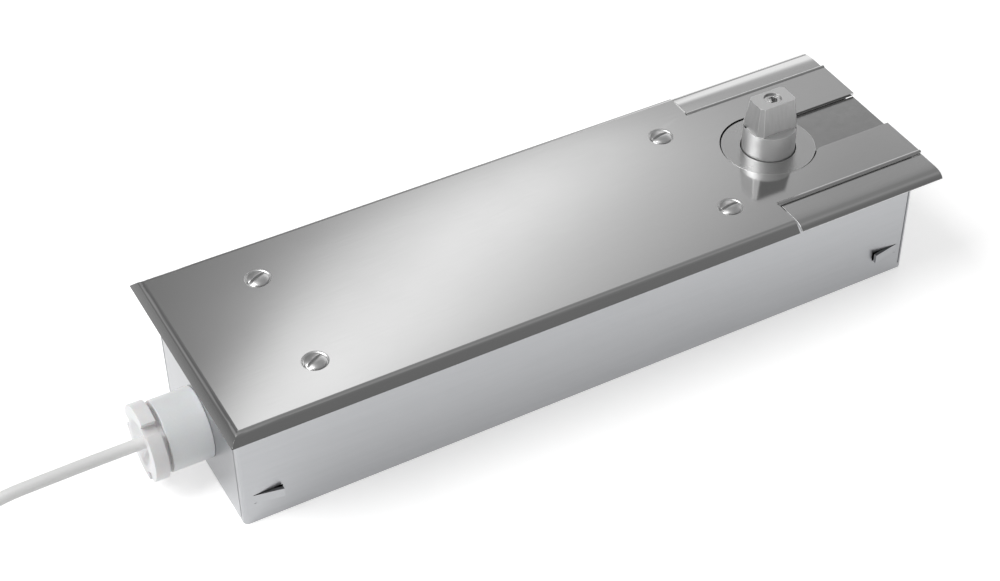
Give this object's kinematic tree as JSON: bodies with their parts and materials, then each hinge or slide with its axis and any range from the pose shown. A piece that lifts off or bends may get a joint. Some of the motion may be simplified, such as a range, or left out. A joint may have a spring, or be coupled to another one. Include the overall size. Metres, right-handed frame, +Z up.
{
  "type": "floor spring door closer",
  "caption": "Floor spring door closer: pressed cover plate on a cement box, tapered drive spindle, heart cam and spring piston inside, cable gland with a coiled lead.",
  "frame": {"origin": "foot of the spindle's axis on the underside of the cement box", "axes": "+X towards the spindle end of the box, +Y to the far long side, +Z up along the spindle"},
  "size_m": [0.5175, 0.1198, 0.0903],
  "materials": {
    "stainless": "satin brushed stainless sheet",
    "galvanised": "smooth zinc-plated sheet",
    "cast_iron": "painted grey casting",
    "ground_steel": "ground steel",
    "machined_spindle": "satin turned steel",
    "screw_steel": "nickel-plated steel",
    "bearing_cover": "dark machined iron",
    "spring_steel": "oiled spring steel",
    "valve_brass": "turned brass",
    "seal_rubber": "oil-proof rubber",
    "coil_winding": "moulded coil",
    "terminal_plastic": "moulded insulating plastic",
    "gland_plastic": "light grey moulded plastic",
    "cable_jacket": "light grey cable jacket",
    "core_insulation": "coloured core insulation"
  },
  "bodies": {
    "base": {"cement_box": "galvanised", "closer_body": "cast_iron", "body_screws": "screw_steel", "bearing_cover": "bearing_cover", "upper_bearing": "ground_steel", "shaft_seal": "seal_rubber", "lower_bearing": "ground_steel", "closing_spring_outer": "spring_steel", "closing_spring_inner": "spring_steel", "end_plug": "ground_steel", "end_plug_ring": "seal_rubber", "solenoid_coil": "coil_winding", "solenoid_tube": "ground_steel", "plunger_spring": "spring_steel", "channel_plugs": "ground_steel", "terminal_block": "terminal_plastic", "terminal_screws": "screw_steel", "gland_body": "gland_plastic", "gland_seal": "seal_rubber", "gland_cap": "gland_plastic", "gland_locknut": "gland_plastic", "cover_plate": "stainless", "edge_strip_near": "stainless", "edge_strip_far": "stainless", "slot_tongue": "stainless", "cover_screws": "screw_steel", "cable": "cable_jacket", "cable_coil": "cable_jacket", "inner_lead": "cable_jacket", "lead_cores": "core_insulation"},
    "spindle": {"spindle": "ground_steel", "cam": "ground_steel", "cam_key": "ground_steel", "spindle_insert": "machined_spindle", "insert_screw": "screw_steel"},
    "piston": {"piston": "ground_steel", "piston_ring": "seal_rubber", "roller_pin": "ground_steel", "check_retainer": "ground_steel", "check_spring": "spring_steel"},
    "roller": {"cam_roller": "ground_steel"},
    "check_ball": {"check_ball": "ground_steel"},
    "preload_screw": {"preload_screw": "screw_steel"},
    "spring_seat": {"spring_seat": "ground_steel"},
    "closing_valve": {"closing_valve": "valve_brass"},
    "latching_valve": {"latching_valve": "valve_brass"},
    "backcheck_valve": {"backcheck_valve": "valve_brass"},
    "plunger": {"solenoid_plunger": "ground_steel"}
  },
  "joints": [
    {"name": "spindle_turn", "type": "hinge", "parent": "base", "child": "spindle", "pos_m": [0, 0, 0.03], "axis": [0, 0, 1], "range_deg": [0, 175]},
    {"name": "piston_slide", "type": "slide", "parent": "base", "child": "piston", "axis": [-1, 0, 0], "range_m": [0, 0.00977], "stiffness_N_per_m": 29000, "springref_m": -0.0011, "deforming": ["closing_spring_outer", "closing_spring_inner"]},
    {"name": "roller_spin", "type": "hinge", "parent": "piston", "child": "roller", "pos_m": [-0.024, 0, 0.028], "axis": [0, 0, 1], "continuous": true},
    {"name": "check_ball_lift", "type": "slide", "parent": "piston", "child": "check_ball", "axis": [1, 0, 0], "range_m": [0, 0.0015], "stiffness_N_per_m": 20, "deforming": ["check_spring"]},
    {"name": "preload_turn", "type": "hinge", "parent": "base", "child": "preload_screw", "pos_m": [-0.205, 0, 0.028], "axis": [1, 0, 0], "range_deg": [0, 1440]},
    {"name": "seat_travel", "type": "slide", "parent": "base", "child": "spring_seat", "axis": [1, 0, 0], "range_m": [0, 0.006], "deforming": ["closing_spring_outer", "closing_spring_inner"]},
    {"name": "closing_valve_turn", "type": "hinge", "parent": "base", "child": "closing_valve", "pos_m": [-0.064, 0.028, 0.046], "axis": [0, 0, 1], "range_deg": [0, 360]},
    {"name": "latching_valve_turn", "type": "hinge", "parent": "base", "child": "latching_valve", "pos_m": [-0.082, 0.028, 0.046], "axis": [0, 0, 1], "range_deg": [0, 360]},
    {"name": "backcheck_valve_turn", "type": "hinge", "parent": "base", "child": "backcheck_valve", "pos_m": [-0.064, -0.028, 0.046], "axis": [0, 0, 1], "range_deg": [0, 360]},
    {"name": "plunger_pull", "type": "slide", "parent": "base", "child": "plunger", "axis": [0, 0, -1], "range_m": [0, 0.0015], "stiffness_N_per_m": 200, "springref_m": -0.002, "deforming": ["plunger_spring"]}
  ],
  "couplings": [
    {"joint": "spindle_turn", "follows": "piston_slide", "rad_per_m": 312.5},
    {"joint": "preload_turn", "follows": "seat_travel", "rad_per_m": 4188.7}
  ]
}
